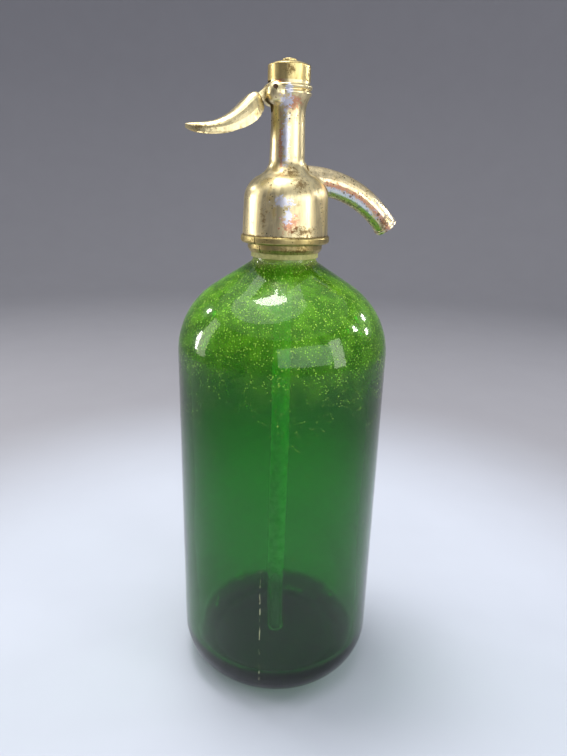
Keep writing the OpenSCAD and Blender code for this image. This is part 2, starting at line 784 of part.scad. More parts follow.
// Rounding of the root end and of the tip
leaf_root = 0.06;
leaf_tip = 0.9;
function leaf_end(t) =
  t < leaf_root ? 0.7 + 0.3 * sin(90 * t / leaf_root)
  : t > leaf_tip ? sqrt(1 - 0.85 * pow((t - leaf_tip) / (1 - leaf_tip), 2))
  : 1;

function leaf_station(k) = leaf_last * (1 - cos(180 * k / leaf_steps)) / 2;
function leaf_ring(t) =
  let (
    high = curve(leaf_top, t),
    low = curve(leaf_low, t),
    mid = (high + low) / 2,
    rise = (high - low) * leaf_end(t),
    foot = mid - rise / 2,
    half_w = leaf_half_w(t) * leaf_end(t),
    in_w = max(half_w - lever_skin, half_w * 0.35),
    in_rise = rise * leaf_hollow(t, norm(rise))
  )
  concat(
    [for (i = [0 : arch_steps])
      let (a = 180 * i / arch_steps, p = foot + rise * signed_pow(sin(a), 0.62))
        [pin_x + p[0], half_w * signed_pow(cos(a), 0.72), pin_z + p[1]]],
    [for (i = [arch_steps : -1 : 0])
      let (a = 180 * i / arch_steps, p = foot + in_rise * signed_pow(sin(a), 0.62))
        [pin_x + p[0], in_w * signed_pow(cos(a), 0.72), pin_z + p[1]]]
  );

// The hollow leaf that the thumb presses
module lever_leaf() {
  sides = 2 * (arch_steps + 1);
  rings = leaf_steps + 1;
  points = [for (k = [0 : leaf_steps]) each leaf_ring(leaf_station(k))];
  walls = concat(
    [for (k = [0 : rings - 2], i = [0 : sides - 1])
      let (a = k * sides + i, b = k * sides + (i + 1) % sides) [a, b, b + sides]],
    [for (k = [0 : rings - 2], i = [0 : sides - 1])
      let (a = k * sides + i, b = k * sides + (i + 1) % sides) [a, b + sides, a + sides]]
  );
  caps = [
    for (c = [0, (rings - 1) * sides], i = [0 : arch_steps - 1])
      let (p = c + i, q = c + i + 1, r = c + sides - 2 - i, s = c + sides - 1 - i)
        c == 0 ? [s, r, q, p] : [p, q, r, s]
  ];
  polyhedron(points, concat(walls, caps));
}

// The flat stem, its eye round the pin and the nose that lifts the yoke
module lever_stem() {
  eye_r = eye_d / 2;
  nose_r = nose_d / 2;
  translate([pin_x, stem_t / 2, pin_z])
    rotate([90, 0, 0])
      linear_extrude(stem_t) {
        circle(eye_r);
        translate([pin_offset, 0]) circle(nose_r);
        polygon([[0, nose_r], [pin_offset, nose_r], [pin_offset, -nose_r], [0, -eye_r]]);
        polygon([
          [0, eye_r], lever_at(0.16, 0.14), lever_at(0.16, 0.255), lever_at(0.143, 0.34),
          lever_at(0.11, 0.33), [0, -eye_r]
        ]);
      }
}

module lever() {
  color([0.8, 0.68, 0.4])
    difference() {
      union() {
        lever_leaf();
        lever_stem();
      }
      translate([pin_x, stem_t, pin_z])
        rotate([90, 0, 0]) cylinder(r = pin_d / 2 + pin_fit, h = 2 * stem_t);
    }
}

// ---------- spindle ----------

module spindle() {
  low_z = valve_cup_floor_z + 0.6;
  color([0.66, 0.6, 0.46])
    translate([0, 0, low_z]) cylinder(r = spindle_r, h = yoke_window_z - low_z);
}

module lifting_yoke() {
  reach = yoke_d / 2 + 1;
  color([0.72, 0.62, 0.4])
    difference() {
      union() {
        translate([0, 0, yoke_z]) cylinder(d = yoke_d, h = yoke_top_z - yoke_z);
        translate([0, 0, yoke_top_z - eps]) cylinder(d = stub_d, h = stub_h + eps);
      }
      translate([0, 0, yoke_z - 1]) cylinder(r = spindle_r + glass_fit, h = yoke_low_t + 1.5);
      translate([-reach, -slot_w / 2, yoke_window_z])
        cube([reach + yoke_slot_x, slot_w, yoke_window_h]);
    }
}

module valve_cup() {
  hub_r = spindle_r + 1.2;
  color([0.76, 0.62, 0.36])
    difference() {
      union() {
        translate([0, 0, valve_cup_low_z]) cylinder(d = valve_cup_d, h = valve_cup_h);
        translate([0, 0, valve_cup_z - eps]) cylinder(r1 = hub_r + 0.6, r2 = hub_r, h = 1.2);
      }
      translate([0, 0, valve_cup_low_z - 1])
        cylinder(r = valve_rubber_r + glass_fit, h = valve_cup_floor_z - valve_cup_low_z + 1);
      translate([0, 0, valve_cup_floor_z - 1]) cylinder(r = valve_screw_r + glass_fit, h = 3);
      translate([0, 0, valve_cup_floor_z + 0.6]) cylinder(r = spindle_r + glass_fit, h = valve_cup_h + 2);
    }
}

module valve_rubber() {
  color([0.16, 0.15, 0.15])
    translate([0, 0, valve_rubber_z]) ring(valve_rubber_r, valve_screw_r + glass_fit, valve_rubber_t);
}

module valve_screw() {
  head_h = 1;
  color([0.74, 0.62, 0.36])
    difference() {
      union() {
        translate([0, 0, valve_rubber_z - head_h]) cylinder(d = valve_screw_d, h = head_h);
        translate([0, 0, valve_rubber_z - eps]) cylinder(r = valve_screw_r, h = valve_rubber_t + 0.6);
      }
      translate([-valve_screw_d, -0.3, valve_rubber_z - head_h - 1]) cube([2 * valve_screw_d, 0.6, 1.5]);
    }
}

bottle();
siphon_tube();
tube_bush();
tube_nut();
neck_sleeve();
collar_half_front();
collar_half_back();
lip_washer();
head_body();
spout();
valve_seat();
seat_washer();
packing_rings();
gland_nut();
top_cap();
cap_washer();
spring_washer();
plunger_spring();
lever_pin();
lever();
spindle();
lifting_yoke();
valve_cup();
valve_rubber();
valve_screw();
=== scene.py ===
# %% [markdown]
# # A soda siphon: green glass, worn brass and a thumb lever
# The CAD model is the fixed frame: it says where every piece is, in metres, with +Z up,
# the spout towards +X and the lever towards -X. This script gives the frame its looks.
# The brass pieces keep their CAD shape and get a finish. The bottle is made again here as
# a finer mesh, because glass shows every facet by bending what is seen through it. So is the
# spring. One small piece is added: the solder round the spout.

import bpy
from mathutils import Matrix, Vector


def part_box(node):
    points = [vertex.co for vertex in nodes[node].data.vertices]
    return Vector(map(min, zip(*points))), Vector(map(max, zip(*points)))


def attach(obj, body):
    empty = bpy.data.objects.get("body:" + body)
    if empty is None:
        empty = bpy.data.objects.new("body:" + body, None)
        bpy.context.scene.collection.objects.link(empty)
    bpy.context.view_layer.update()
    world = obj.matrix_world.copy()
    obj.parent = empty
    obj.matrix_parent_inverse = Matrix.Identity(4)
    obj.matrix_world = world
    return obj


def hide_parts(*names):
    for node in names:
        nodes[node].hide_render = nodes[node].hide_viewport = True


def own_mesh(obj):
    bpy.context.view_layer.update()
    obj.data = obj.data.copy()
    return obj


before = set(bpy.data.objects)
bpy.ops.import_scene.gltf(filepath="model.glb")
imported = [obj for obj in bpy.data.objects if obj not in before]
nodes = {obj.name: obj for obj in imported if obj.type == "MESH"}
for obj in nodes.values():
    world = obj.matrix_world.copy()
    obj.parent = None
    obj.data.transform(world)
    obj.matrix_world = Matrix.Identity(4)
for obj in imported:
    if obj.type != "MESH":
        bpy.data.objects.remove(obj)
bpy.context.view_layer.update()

# %% Blender's own modules
import math

import bmesh
import bpy
from mathutils import Matrix, Vector, noise
from mathutils.bvhtree import BVHTree

MM = 0.001
print("Blender", bpy.app.version_string)

# %% [markdown]
# ## The camera
# The photograph was taken from the front, a little to the lever's side, from about the height
# of the spout, looking down. A camera is easiest to place by its own three axes: where it
# looks, what is right and what is up. These make the columns of its matrix. The lens is wide
# and stands close, so the bottle narrows towards its foot as in the photograph.

# %% Camera
CAMERA_AWAY, CAMERA_HIGH = 0.285, 0.258
PICTURE_SHIFT, PICTURE_HIGH = 2.2, 756
view_turn = math.radians(17)
view_down = math.radians(18.46)
view_roll = math.radians(1.51)
side = Vector((math.cos(view_turn), -math.sin(view_turn), 0))
depth = Vector((math.sin(view_turn), math.cos(view_turn), 0))
ahead = depth * math.cos(view_down) - Vector((0, 0, math.sin(view_down)))
above = side.cross(ahead)
right = side * math.cos(view_roll) + above * math.sin(view_roll)
upward = above * math.cos(view_roll) - side * math.sin(view_roll)

camera = bpy.data.objects.new("camera", bpy.data.cameras.new("camera"))
bpy.context.scene.collection.objects.link(camera)
camera.data.sensor_fit = "VERTICAL"
camera.data.sensor_height = 36
camera.data.lens = 28
camera.data.shift_x = PICTURE_SHIFT / PICTURE_HIGH
camera.data.clip_start = 0.01
stand = Matrix.Translation(depth * -CAMERA_AWAY + Vector((0, 0, CAMERA_HIGH)))
camera.matrix_world = stand @ Matrix((right, upward, -ahead)).transposed().to_4x4()
bpy.context.scene.camera = camera
print("camera at", [round(v, 3) for v in camera.location])

# %% [markdown]
# ## Shader maths as Python
# A finish is a small sum: cloudy stains plus fine pits minus polish. Typing it as Python is
# easier to read than a list of nodes, so a small class wraps a node's output, and each
# operator adds the Math node it stands for. All other nodes come from one method.

# %% A number that varies over a surface
class Field:
    """One output of a node. Its operators add Math nodes."""

    def __init__(self, finish, socket):
        self.finish = finish
        self.socket = socket

    def math(self, operation, *values):
        """One Math node; a value is a plain number or another field."""
        return self.finish.node("ShaderNodeMath", {"operation": operation}, dict(enumerate(values)))

    def __add__(self, other):
        return self.math("ADD", self, other)

    def __radd__(self, other):
        return self.math("ADD", other, self)

    def __sub__(self, other):
        return self.math("SUBTRACT", self, other)

    def __rsub__(self, other):
        return self.math("SUBTRACT", other, self)

    def __mul__(self, other):
        return self.math("MULTIPLY", self, other)

    def __rmul__(self, other):
        return self.math("MULTIPLY", other, self)

    def __abs__(self):
        return self.math("ABSOLUTE", self)

    def most(self, other):
        """Whichever of the two is larger, point by point."""
        return self.math("MAXIMUM", self, other)


reflected = [word for word in ("__radd__", "__rsub__", "__rmul__") if hasattr(Field, word)]
print("reflected operators:", reflected)

# %% A finish and the one method that adds nodes
class Finish:
    """A new material. Its helpers work in millimetres, in the frame of the CAD."""

    def __init__(self, name):
        self.material = bpy.data.materials.new(name)
        self.material.use_nodes = True
        self.tree = self.material.node_tree
        self.tree.nodes.clear()
        where = self.node("ShaderNodeTexCoord", {}, {}, "Object")
        self.place = self.node("ShaderNodeVectorMath", {"operation": "SCALE"}, {0: where, 3: 1000})

    def node(self, kind, settings=None, inputs=None, output=0):
        """Adds a node, sets it up, fills or links its inputs and returns one of its outputs."""
        made = self.tree.nodes.new(kind)
        for key, value in (settings or {}).items():
            setattr(made, key, value)
        for key, value in (inputs or {}).items():
            if isinstance(value, Field):
                self.tree.links.new(value.socket, made.inputs[key])
            else:
                made.inputs[key].default_value = value
        return Field(self, made.outputs[output]) if len(made.outputs) else None


print("a finish adds nodes of any type with Finish.node")

# %% [markdown]
# ## Helpers for wear
# Worn surfaces are made of a few things again and again: soft clouds, long streaks, small
# pits, and patches with a ragged edge. Each helper below makes one of them.

# %% Clouds, streaks, pits and patches
def cloud(finish, size, detail=3.0, stretch=(1, 1, 1), shift=0.0):
    """Soft noise from 0 to 1 whose blotches are about size mm across."""
    scale = [1 / (size * s) for s in stretch]
    at = finish.node("ShaderNodeMapping", {}, {
        "Vector": finish.place, "Scale": scale, "Location": (shift,) * 3})
    return finish.node("ShaderNodeTexNoise", {}, {
        "Vector": at, "Scale": 1.0, "Detail": detail, "Roughness": 0.55})


def pits(finish, size, shift=0.0):
    """Distance to the nearest of many scattered points, 0 at a point; they are size mm apart."""
    at = finish.node("ShaderNodeMapping", {}, {
        "Vector": finish.place, "Scale": [1 / size] * 3, "Location": (shift,) * 3})
    return finish.node("ShaderNodeTexVoronoi", {}, {"Vector": at, "Scale": 1.0})


def step(finish, field, low, high):
    """0 below low and 1 above high, with a smooth rise between."""
    return finish.node("ShaderNodeMapRange", {"interpolation_type": "SMOOTHSTEP"},
                       {0: field, 1: low, 2: high, 3: 0.0, 4: 1.0})


def patch(finish, centre, radii):
    """1 at the centre of an egg-shaped region, falling to 0 at its edge and below 0 outside."""
    off = finish.node("ShaderNodeVectorMath", {"operation": "SUBTRACT"}, {0: finish.place, 1: centre})
    share = finish.node("ShaderNodeVectorMath", {"operation": "DIVIDE"}, {0: off, 1: radii})
    return 1 - finish.node("ShaderNodeVectorMath", {"operation": "LENGTH"}, {0: share}, 1)


def mix(finish, mask, colour_a, colour_b):
    """colour_a where the mask is 0 and colour_b where it is 1."""
    return finish.node("ShaderNodeMix", {"data_type": "RGBA"}, {0: mask, 6: colour_a, 7: colour_b}, 2)


def axis(finish, name):
    """One coordinate of the place, in mm."""
    return finish.node("ShaderNodeSeparateXYZ", {}, {0: finish.place}, name)


def bump(finish, height, distance, strength=1.0):
    """Relief from a height field; distance is in mm."""
    return finish.node("ShaderNodeBump", {}, {
        "Height": height, "Distance": distance * MM, "Strength": strength})


def close(finish, surface, volume=None):
    """Joins a surface, and a volume if there is one, to the material's output."""
    inputs = {"Surface": surface}
    if volume is not None:
        inputs["Volume"] = volume
    finish.node("ShaderNodeOutputMaterial", {}, inputs)
    return finish.material


print("wear helpers ready")

# %% [markdown]
# ## Old brass
# The head was plated brass. Most of the plating is gone: what is left is a bluish silver
# with a pink edge, where the copper under it shows. The bare brass is golden where hands
# polish it and olive brown where they don't, with small black pits. So the colour is built
# in that order, from the metal up: brass, stain, copper, plating, dirt together with painted
# shade and a painted dark reflection, pits. Stain, dirt and that painted shade also raise the
# roughness, because a dull spot scatters light as well as being darker.

# %% The brass finish
SILVER = (0.82, 0.82, 0.90, 1)
COPPER = (0.78, 0.33, 0.20, 1)
SOOT = (0.035, 0.026, 0.014, 1)
# The dark of dirt, also used for painted shade and a painted dark reflection.
SOIL_AND_SHADE = (0.16, 0.095, 0.03, 1)


def brass(name, gold, shade, stain=0.5, rough=0.26, silver=None, rosy=None, dirt_and_shade=None, speck=1.0):
    """Worn brass; three optional functions place the plating, the copper, and dirt together with painted
    shade.
    """
    f = Finish(name)
    broad = cloud(f, 9, 4)
    fine = cloud(f, 1.6, 5, shift=7)
    drips = cloud(f, 1.9, 4, (1, 1, 8), 3)
    ragged = 2.6 * (fine - 0.5) + 1.8 * (cloud(f, 0.6, 3, shift=13) - 0.5)
    dull = step(f, broad * 0.5 + drips * 0.35 + fine * 0.15, 0.60 - 0.2 * stain, 0.68 - 0.12 * stain)
    colour = mix(f, step(f, drips, 0.35, 0.6), tuple(0.72 * c for c in gold[:3]) + (1,), gold)
    colour = mix(f, dull * 0.75, colour, shade)
    if rosy is not None:
        colour = mix(f, step(f, rosy(f) + ragged, 0.1, 0.5) * 0.8, colour, COPPER)
    if silver is not None:
        colour = mix(f, step(f, silver(f) + ragged, 0.1, 0.35), colour, SILVER)
    dirt = step(f, 0.25 - pits(f, 1.5, 5), 0.0, 0.08) * step(f, broad, 0.53, 0.6) * speck
    # Dirt darkens here; on the spout and the lever this is also painted shade, and on the cap a painted
    # dark reflection.
    if dirt_and_shade is not None:
        dirt_and_shade_mask = step(f, dirt_and_shade(f) + ragged, 0.0, 0.9)
        colour = mix(f, dirt_and_shade_mask * 0.85, colour, SOIL_AND_SHADE)
        dull = dull.most(dirt_and_shade_mask)
    colour = mix(f, dirt, colour, SOOT)
    dents = step(f, 0.17 - pits(f, 0.9, 2), 0.0, 0.1) * speck
    roughness = rough + 0.16 * dull + 0.25 * (fine - 0.5) + 0.3 * dirt
    relief = fine * 0.3 + broad * 0.5 + drips * 0.2 - dirt * 1.0 - dents * 0.4
    return close(f, f.node("ShaderNodeBsdfPrincipled", {}, {
        "Base Color": colour, "Metallic": 1.0, "Roughness": roughness,
        "Normal": bump(f, relief, 0.10, 0.6)}))


GOLD = (0.94, 0.80, 0.46, 1)
OLIVE = (0.42, 0.31, 0.11, 1)
print("gold and olive:", GOLD[:3], OLIVE[:3])

# %% [markdown]
# ## Where the plating is left
# On the head the plating stayed in the middle of the front: a stripe down the column, a patch
# on the bulb, a spot on the bead and two blots on the bell. Each is an egg-shaped region whose
# edge the noise roughens. The copper lies beside or round it and shows as a pink rim. The
# back isn't in the photograph, so it gets one patch of its own and otherwise plain worn brass.

# %% Head, cap, collar
def front(radius, height, aside=0.0):
    """A point on the front of a round piece, seen from the camera's side."""
    at = depth * -radius + side * aside
    return (at.x, at.y, height)


def most_of(f, *regions):
    """The union of egg-shaped regions, each given as a centre and radii."""
    field = patch(f, *regions[0])
    for region in regions[1:]:
        field = field.most(patch(f, *region))
    return field


def silver_on_head(f):
    """Stripe on the column, patch on the bulb, spot on the bead, blots on the bell and one behind."""
    return most_of(f, (front(7.8, 276, -0.7), (1.9, 3.4, 13)), (front(8.6, 290.8, -1.2), (3.6, 3.4, 2.6)),
                   (front(9.9, 295.4, 0.4), (2.4, 3.0, 2.6)), (front(19.4, 249.6, -0.8), (4.8, 5.0, 2.8)),
                   (front(19.4, 243.6, 1.0), (2.6, 4.0, 3.6)),
                   ((6, 16.5, 250), (7, 6, 6)))


def rosy_on_head(f):
    """Copper beside the stripe and round the patches of plating."""
    return most_of(f, (front(8.4, 290.6, 1.2), (6.0, 4.4, 3.8)), (front(9.0, 298.8, -4.0), (2.6, 2.6, 1.6)),
                   (front(7.8, 274, -2.6), (1.2, 2.6, 13)), (front(19.4, 240.8, 1.6), (4.6, 4.0, 5.6)),
                   ((6, 16, 247), (9, 7, 8)))


COLLAR_SEAM = 234.57


def grime_on_head(f):
    """Dirt in hollows of the column and the bell, at the spout's root and along the foot."""
    foot = axis(f, "Z") - COLLAR_SEAM
    return most_of(f, (front(10.6, 262.0, 2.2), (4.6, 5.0, 4.6)),
                   (front(15.6, 256.8, 6.2), (4.4, 5.0, 4.4)),
                   (front(18.8, 237.4, 8.0), (9.0, 6.0, 2.6)), (front(19.4, 243.0, -9.0), (1.6, 6.0, 6.0)),
                   (front(9.4, 286.5, -6.0), (2.0, 5.0, 6.0)), ((12, 6, 258), (4, 5, 4)),
                   (front(9.4, 296.2, -5.2), (1.0, 2.0, 1.0))).most(0.75 - foot * 1.1)


def cap_dirt_and_painted_reflection(f):
    """A painted dark reflection in front, and a larger dark spot behind."""
    return most_of(f, (front(9.3, 303.0, 0.2), (2.6, 3.0, 2.8)), ((4, 9, 302), (4, 4, 3)))


def grime_on_collar(f):
    """Dirt along the seam between bell and collar, and on the low rim."""
    seam = abs(axis(f, "Z") - COLLAR_SEAM)
    low_rim = most_of(f, (front(17, 228.6, 5), (10, 7, 1.9)), ((0, 17, 229), (14, 7, 2)))
    return (0.8 - seam * 1.5).most(0.7 * low_rim)


head_finish = brass("head_brass_worn", GOLD, OLIVE, 0.4, 0.33, silver_on_head, rosy_on_head, grime_on_head)
cap_finish = brass("cap_brass_worn", (0.78, 0.62, 0.27, 1), (0.32, 0.23, 0.08, 1), 0.65, 0.32,
                   dirt_and_shade=cap_dirt_and_painted_reflection, speck=0.7)
collar_finish = brass("collar_brass_dull", (0.60, 0.49, 0.21, 1), (0.34, 0.26, 0.10, 1), 0.6, 0.34,
                      dirt_and_shade=grime_on_collar, speck=0.8)
inner_finish = brass("inner_brass_clean", (0.78, 0.60, 0.28, 1), (0.34, 0.24, 0.10, 1), 0.3, 0.3, speck=0.3)
print("head, cap, collar and inner brass made")

# %% [markdown]
# ## Spout and lever
# The spout keeps its plating along its front flank, with a copper line over it. Its curve is
# an arc, so the distance from the arc's centre says how high on the tube a point lies. Its
# underside gets painted shade. The lever is the most handled piece: it is pale and smooth,
# with painted shade under its tip and at the stem.

# %% Spout and lever finishes
SPOUT_ARC_CENTRE, SPOUT_ARC_R = (10.442, 0, 207.894), 51


def above_spout_axis(f):
    """Height over the spout's centre line, in mm, measured from the centre of its curve."""
    flat = f.node("ShaderNodeVectorMath", {"operation": "MULTIPLY"}, {0: f.place, 1: (1, 0, 1)})
    off = f.node("ShaderNodeVectorMath", {"operation": "SUBTRACT"}, {0: flat, 1: SPOUT_ARC_CENTRE})
    return f.node("ShaderNodeVectorMath", {"operation": "LENGTH"}, {0: off}, 1) - SPOUT_ARC_R


def silver_on_spout(f):
    """A band along the front flank that ends just before the mouth."""
    high = above_spout_axis(f)
    in_front = step(f, 0 - axis(f, "Y"), 1.0, 3.0)
    before_mouth = step(f, 44 - axis(f, "X"), 0, 6)
    return (0.9 - abs(high + 3.0) * 0.62) * in_front * before_mouth


def rosy_on_spout(f):
    """A band of copper over the plating."""
    high = above_spout_axis(f)
    return (0.8 - abs(high + 1.2) * 0.5) * step(f, 0 - axis(f, "Y"), 1.5, 3.5)


def spout_dirt_and_painted_shade(f):
    """Dirt at the mouth and the root and in spots along the flanks, and painted shade underneath."""
    high = above_spout_axis(f)
    mouth = patch(f, (48.6, -4.6, 240.4), (3.4, 3.4, 5.0))
    spots = step(f, 0.34 - pits(f, 3.1, 1), 0.0, 0.1) * step(f, 2.2 - abs(high + 1.4), 0.0, 0.8)
    root = patch(f, (15, 0, 258), (5.5, 8, 8)) * 0.8
    # The last term is painted shade along the spout's underside.
    return mouth.most(root).most(spots * 0.7).most((0 - high) * 0.35 - 1.45)


def lever_painted_shade(f):
    """Painted shade under the tip and at the stem."""
    return most_of(f, ((-38.5, -4.4, 279.4), (8.5, 3.6, 1.7)), ((-12, 0, 291), (3.0, 8, 3.4)))


spout_finish = brass("spout_brass_worn", (0.95, 0.80, 0.50, 1), OLIVE, 0.4, 0.32,
                     silver_on_spout, rosy_on_spout, spout_dirt_and_painted_shade, 1.4)
lever_finish = brass("lever_brass_handled", (0.93, 0.79, 0.45, 1), (0.46, 0.34, 0.12, 1), 0.45, 0.3,
                     dirt_and_shade=lever_painted_shade, speck=0.6)
print("spout and lever brass made")

# %% [markdown]
# ## Small parts
# The pin and the spring are steel, what seals is rubber or leather, and the sleeve under the
# collar is a pale gum. Most of these pieces sit inside the head and only show when it is taken
# apart, but the sleeve and the end of the pin can be seen. Two helpers make all five finishes.

# %% Steel, rubber, leather, gum
def steel(name, colour, rust):
    """Steel with brown blotches; rust, from 0 to 1, says how far they have spread."""
    f = Finish(name)
    broad = cloud(f, 2.4, 4)
    fine = cloud(f, 0.5, 4, shift=2)
    brown = step(f, broad * 0.7 + fine * 0.3, 0.62 - 0.3 * rust, 0.74 - 0.3 * rust)
    return close(f, f.node("ShaderNodeBsdfPrincipled", {}, {
        "Base Color": mix(f, brown, colour, (0.10, 0.055, 0.03, 1)), "Metallic": 1 - 0.5 * brown,
        "Roughness": 0.3 + 0.3 * brown + 0.1 * fine, "Normal": bump(f, fine + broad, 0.03, 0.5)}))


def soft(name, light, dark, rough, grain):
    """Rubber, leather or gum: two shades in blotches, and a grain whose size is in mm."""
    f = Finish(name)
    broad = cloud(f, 6, 4)
    fine = cloud(f, grain, 5, shift=4)
    colour = mix(f, step(f, broad * 0.6 + fine * 0.4, 0.36, 0.64), dark, light)
    return close(f, f.node("ShaderNodeBsdfPrincipled", {}, {
        "Base Color": colour, "Roughness": rough + 0.15 * (fine - 0.5), "Specular IOR Level": 0.35,
        "Normal": bump(f, fine + 0.5 * broad, 0.08, 0.6)}))


pin_finish = steel("pin_steel_brown", (0.33, 0.29, 0.22, 1), 0.9)
spring_finish = steel("spring_steel_grey", (0.52, 0.52, 0.53, 1), 0.3)
rubber_finish = soft("washer_rubber_black", (0.045, 0.042, 0.04, 1), (0.02, 0.02, 0.02, 1), 0.6, 0.6)
leather_finish = soft("packing_leather_brown", (0.20, 0.10, 0.045, 1), (0.09, 0.045, 0.02, 1), 0.7, 0.5)
gum_finish = soft("sleeve_gum_pale", (0.70, 0.66, 0.26, 1), (0.44, 0.44, 0.15, 1), 0.45, 1.2)
print("small parts' finishes made")

# %% [markdown]
# ## Dress the CAD nodes
# A CAD node keeps its shape, and a finish goes into its material slot. One table says which
# finish each node gets, and the print names what is left: the tube, which waits for its glass,
# and the bottle and the spring, which are made again further on. Pieces of one kind share a
# finish: the turned brass inside is cleaner than what hands and air reach.

# %% Finish of every node
finish_of = {
    "head_body": head_finish, "top_cap": cap_finish, "collar_half_front": collar_finish,
    "collar_half_back": collar_finish, "spout": spout_finish, "lever": lever_finish,
    "valve_seat": inner_finish, "tube_nut": inner_finish, "gland_nut": inner_finish,
    "spring_washer": inner_finish, "spindle": inner_finish, "lifting_yoke": inner_finish,
    "valve_cup": inner_finish, "valve_screw": inner_finish, "lever_pin": pin_finish,
    "neck_sleeve": gum_finish, "tube_bush": rubber_finish,
    "lip_washer": rubber_finish, "valve_rubber": rubber_finish, "seat_washer": leather_finish,
    "packing_rings": leather_finish, "cap_washer": leather_finish,
}
for name, material in finish_of.items():
    slots = nodes[name].data.materials
    slots.clear()
    slots.append(material)
print("nodes dressed:", len(finish_of), "left:", sorted(set(nodes) - set(finish_of)))

# %% [markdown]
# ## Green glass
# The bottle is thick green glass, and its colour comes from its depth: the walls are clear
# emerald, while the heel, which is thickest, is nearly black, with painted shade over it.
# Painting a surface green would look like plastic. So the surface is colourless, and a Volume
# Absorption inside takes out red and blue at a rate per metre. Lamps shine through it by a
# Transparent BSDF that only shadow rays see, so that what stands in or behind the glass isn't
# left dark. Marks are laid over it, each a mask that mixes in a matt layer: frost, partly a
# haze and partly a painted green glow, over the shoulder; seeds, which are small bubbles in
# the skin, painted as bright spots of light; painted pale light on the neck; painted shade on
# the heel; and a thin broken scratch down the front. The tube has painted pale light instead.

# %% The glass finish
def glass(name, tint, density, relief, relief_mm, roughness, *marks):
    """Clear glass with a coloured volume; each mark is a mask function, a colour and a roughness."""
    f = Finish(name)
    pane = f.node("ShaderNodeBsdfPrincipled", {}, {
        "Base Color": (1, 1, 1, 1), "Roughness": roughness(f), "IOR": 1.5, "Transmission Weight": 1.0,
        "Specular IOR Level": 0.34, "Normal": bump(f, relief(f), relief_mm, 1.0)})
    for mask, colour, rough in marks:
        chalk = f.node("ShaderNodeBsdfPrincipled", {}, {"Base Color": colour, "Roughness": rough})
        pane = f.node("ShaderNodeMixShader", {}, {0: mask(f), 1: pane, 2: chalk})
    shadow = f.node("ShaderNodeLightPath", {}, {}, "Is Shadow Ray")
    clear = f.node("ShaderNodeBsdfTransparent", {}, {"Color": (0.93, 0.95, 0.93, 1)})
    surface = f.node("ShaderNodeMixShader", {}, {0: shadow, 1: pane, 2: clear})
    body = f.node("ShaderNodeVolumeAbsorption", {}, {"Color": tint, "Density": density})
    return close(f, surface, body)


print("glass: a clear skin round a coloured body, with marks laid over it")

# %% Seeds in the skin, and how even it is
def many_seeds(f):
    """How dense the seeds are: 1 on the shoulder, falling to 0 down the side, with a cloudy edge."""
    return step(f, axis(f, "Z") + 70 * (cloud(f, 16, 3, shift=2) - 0.5), 128, 212)


def seeds(f):
    """1 on each small bubble of the skin; two sizes of scattered points, thinned out by a cloud."""
    large = step(f, 0.20 - pits(f, 2.3, 3), 0.0, 0.10)
    small = step(f, 0.27 - pits(f, 1.15, 8), 0.0, 0.12)
    return large.most(small) * step(f, cloud(f, 5, 3, shift=11) + 0.34 * many_seeds(f), 0.60, 0.80)


def bottle_relief(f):
    """A blister at each small bubble, over waves 16 mm and 4 mm across."""
    blisters = step(f, 0.5 - pits(f, 1.15, 8), 0.0, 0.5) * many_seeds(f)
    return blisters * 0.09 + cloud(f, 16, 2, (1, 1, 2.2)) * 0.8 + cloud(f, 4, 3, shift=6) * 0.12


def bottle_roughness(f):
    """Polished down the side, duller in patches towards the shoulder."""
    high = step(f, axis(f, "Z"), 150, 225)
    return 0.006 + 0.05 * high * step(f, cloud(f, 1.8, 4), 0.4, 0.7) + 0.01 * cloud(f, 12, 3)


print("the skin of the bottle has seeds, blisters and slow waves")

# %% Marks of age
def seam_scratch(f):
    """A thin broken line down the lower front, left of the middle."""
    across = f.node("ShaderNodeVectorMath", {"operation": "DOT_PRODUCT"}, {0: f.place, 1: tuple(side)}, 1)
    nearer = f.node("ShaderNodeVectorMath", {"operation": "DOT_PRODUCT"}, {0: f.place, 1: tuple(depth)}, 1)
    line = step(f, 0.36 - abs(across + 7.3 + 1.6 * (cloud(f, 18, 2) - 0.5)), 0.0, 0.2)
    broken = step(f, cloud(f, 1.6, 3, (1, 1, 2.0), 9) + 0.4 * (cloud(f, 22, 1, shift=5) - 0.5), 0.48, 0.6)
    tall = step(f, axis(f, "Z"), 8, 14) * step(f, 92 - axis(f, "Z"), 0, 20)
    return line * broken * tall * step(f, 0 - nearer, 44, 45) * 0.6


def seeds_painted_bright(f):
    """The seeds once more, painted as bright spots of light."""
    return seeds(f) * 0.55


def frost_and_painted_glow(f):
    """A mottled haze over the shoulder, whose bright green is partly painted glow; thinner towards the
    neck, with a ragged lower edge.
    """
    ragged = axis(f, "Z") + 34 * (cloud(f, 14, 4, shift=8) - 0.5)
    mottled = 0.55 + 0.45 * step(f, cloud(f, 7, 4, shift=21), 0.42, 0.6)
    return 0.40 * mottled * step(f, ragged, 158, 206) * step(f, 238 - ragged, 4, 26).most(0.35)


def neck_painted_light(f):
    """Painted pale light on the neck, just under the collar."""
    return 0.6 * step(f, axis(f, "Z") + 3 * cloud(f, 3, 3), 221, 228)


def heel_painted_shade(f):
    """Painted shade: a dark ring round the foot, where the glass is thickest."""
    flat = f.node("ShaderNodeVectorMath", {"operation": "MULTIPLY"}, {0: f.place, 1: (1, 1, 0)})
    out = f.node("ShaderNodeVectorMath", {"operation": "LENGTH"}, {0: flat}, 1)
    return 0.7 * step(f, 15 - axis(f, "Z"), 0, 6) * step(f, out, 33, 42)


def tube_painted_light(f):
    """Painted pale light on the tube, fainter on its lowest part."""
    cloudy = 0.55 + 0.3 * step(f, cloud(f, 5, 4), 0.35, 0.65)
    return cloudy * (0.12 + 0.88 * step(f, axis(f, "Z"), 38, 66))


marks = (frost_and_painted_glow, neck_painted_light, heel_painted_shade, seeds_painted_bright, seam_scratch, tube_painted_light)
print("marks:", [mark.__name__ for mark in marks])

